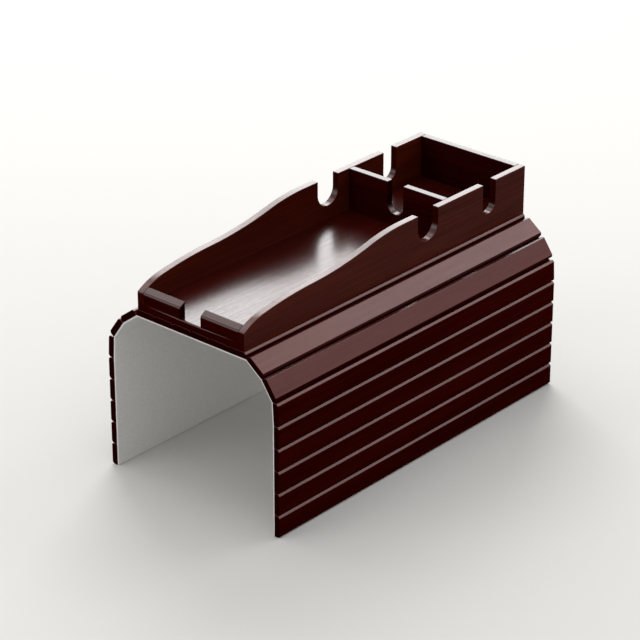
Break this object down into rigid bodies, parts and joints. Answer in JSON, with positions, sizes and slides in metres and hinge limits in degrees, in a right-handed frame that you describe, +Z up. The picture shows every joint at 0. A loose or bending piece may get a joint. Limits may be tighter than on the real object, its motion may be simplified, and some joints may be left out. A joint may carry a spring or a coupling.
{
  "type": "sofa arm tray",
  "caption": "Wooden tray box with a phone bay and a mug bay on a roll-up mat of slats whose two wings hang down the sides of a sofa arm.",
  "frame": {"origin": "middle of the underside of the lining under the box, where the tray rests on the arm", "axes": "+X to the right wing, +Y from the phone bay to the mug bay, +Z up"},
  "size_m": [0.187, 0.355, 0.1977],
  "materials": {
    "slat_wood": "dark red-brown gloss lacquer over fine straight grain",
    "box_wood": "dark red-brown gloss lacquer over fine straight grain",
    "felt": "pale grey-white felt, slightly fuzzy",
    "steel": "bright steel wire"
  },
  "bodies": {
    "tray": {"floor_board": "box_wood", "left_wall": "box_wood", "right_wall": "box_wood", "front_rail_left": "box_wood", "front_rail_right": "box_wood", "divider": "box_wood", "back_wall": "box_wood", "brads": "steel", "lining_centre": "felt", "base_slat_1": "slat_wood", "base_slat_2": "slat_wood", "base_slat_3": "slat_wood", "base_slat_4": "slat_wood", "base_slat_5": "slat_wood", "base_slat_6": "slat_wood"},
    "right_wing_1": {"right_slat_1": "slat_wood", "right_lining_1": "felt"},
    "right_wing_2": {"right_slat_2": "slat_wood", "right_lining_2": "felt"},
    "right_wing_3": {"right_slat_3": "slat_wood", "right_lining_3": "felt"},
    "right_wing_4": {"right_slat_4": "slat_wood", "right_lining_4": "felt"},
    "right_wing_5": {"right_slat_5": "slat_wood", "right_lining_5": "felt"},
    "right_wing_6": {"right_slat_6": "slat_wood", "right_lining_6": "felt"},
    "right_wing_7": {"right_slat_7": "slat_wood", "right_lining_7": "felt"},
    "right_wing_8": {"right_slat_8": "slat_wood", "right_lining_8": "felt"},
    "left_wing_1": {"left_slat_1": "slat_wood", "left_lining_1": "felt"},
    "left_wing_2": {"left_slat_2": "slat_wood", "left_lining_2": "felt"},
    "left_wing_3": {"left_slat_3": "slat_wood", "left_lining_3": "felt"},
    "left_wing_4": {"left_slat_4": "slat_wood", "left_lining_4": "felt"},
    "left_wing_5": {"left_slat_5": "slat_wood", "left_lining_5": "felt"},
    "left_wing_6": {"left_slat_6": "slat_wood", "left_lining_6": "felt"},
    "left_wing_7": {"left_slat_7": "slat_wood", "left_lining_7": "felt"},
    "left_wing_8": {"left_slat_8": "slat_wood", "left_lining_8": "felt"}
  },
  "joints": [
    {"name": "right_fold_1", "type": "hinge", "parent": "tray", "child": "right_wing_1", "pos_m": [0.0597, 0, 0.0014], "axis": [0, 1, 0], "range_deg": [-42, 1]},
    {"name": "right_fold_2", "type": "hinge", "parent": "right_wing_1", "child": "right_wing_2", "pos_m": [0.07559, 0, -0.01058], "axis": [0, 1, 0], "range_deg": [-23, 20]},
    {"name": "right_fold_3", "type": "hinge", "parent": "right_wing_2", "child": "right_wing_3", "pos_m": [0.08701, 0, -0.02688], "axis": [0, 1, 0], "range_deg": [-37, 6]},
    {"name": "right_fold_4", "type": "hinge", "parent": "right_wing_3", "child": "right_wing_4", "pos_m": [0.08805, 0, -0.04675], "axis": [0, 1, 0], "range_deg": [-8, 35]},
    {"name": "right_fold_5", "type": "hinge", "parent": "right_wing_4", "child": "right_wing_5", "pos_m": [0.08805, 0, -0.06665], "axis": [0, 1, 0], "range_deg": [-5, 38]},
    {"name": "right_fold_6", "type": "hinge", "parent": "right_wing_5", "child": "right_wing_6", "pos_m": [0.08805, 0, -0.08655], "axis": [0, 1, 0], "range_deg": [-5, 38]},
    {"name": "right_fold_7", "type": "hinge", "parent": "right_wing_6", "child": "right_wing_7", "pos_m": [0.08805, 0, -0.10645], "axis": [0, 1, 0], "range_deg": [-5, 38]},
    {"name": "right_fold_8", "type": "hinge", "parent": "right_wing_7", "child": "right_wing_8", "pos_m": [0.08805, 0, -0.12635], "axis": [0, 1, 0], "range_deg": [-5, 38]},
    {"name": "left_fold_1", "type": "hinge", "parent": "tray", "child": "left_wing_1", "pos_m": [-0.0597, 0, 0.0014], "axis": [0, 1, 0], "range_deg": [-1, 42]},
    {"name": "left_fold_2", "type": "hinge", "parent": "left_wing_1", "child": "left_wing_2", "pos_m": [-0.07559, 0, -0.01058], "axis": [0, 1, 0], "range_deg": [-20, 23]},
    {"name": "left_fold_3", "type": "hinge", "parent": "left_wing_2", "child": "left_wing_3", "pos_m": [-0.08701, 0, -0.02688], "axis": [0, 1, 0], "range_deg": [-6, 37]},
    {"name": "left_fold_4", "type": "hinge", "parent": "left_wing_3", "child": "left_wing_4", "pos_m": [-0.08805, 0, -0.04675], "axis": [0, 1, 0], "range_deg": [-35, 8]},
    {"name": "left_fold_5", "type": "hinge", "parent": "left_wing_4", "child": "left_wing_5", "pos_m": [-0.08805, 0, -0.06665], "axis": [0, 1, 0], "range_deg": [-38, 5]},
    {"name": "left_fold_6", "type": "hinge", "parent": "left_wing_5", "child": "left_wing_6", "pos_m": [-0.08805, 0, -0.08655], "axis": [0, 1, 0], "range_deg": [-38, 5]},
    {"name": "left_fold_7", "type": "hinge", "parent": "left_wing_6", "child": "left_wing_7", "pos_m": [-0.08805, 0, -0.10645], "axis": [0, 1, 0], "range_deg": [-38, 5]},
    {"name": "left_fold_8", "type": "hinge", "parent": "left_wing_7", "child": "left_wing_8", "pos_m": [-0.08805, 0, -0.12635], "axis": [0, 1, 0], "range_deg": [-38, 5]}
  ]
}
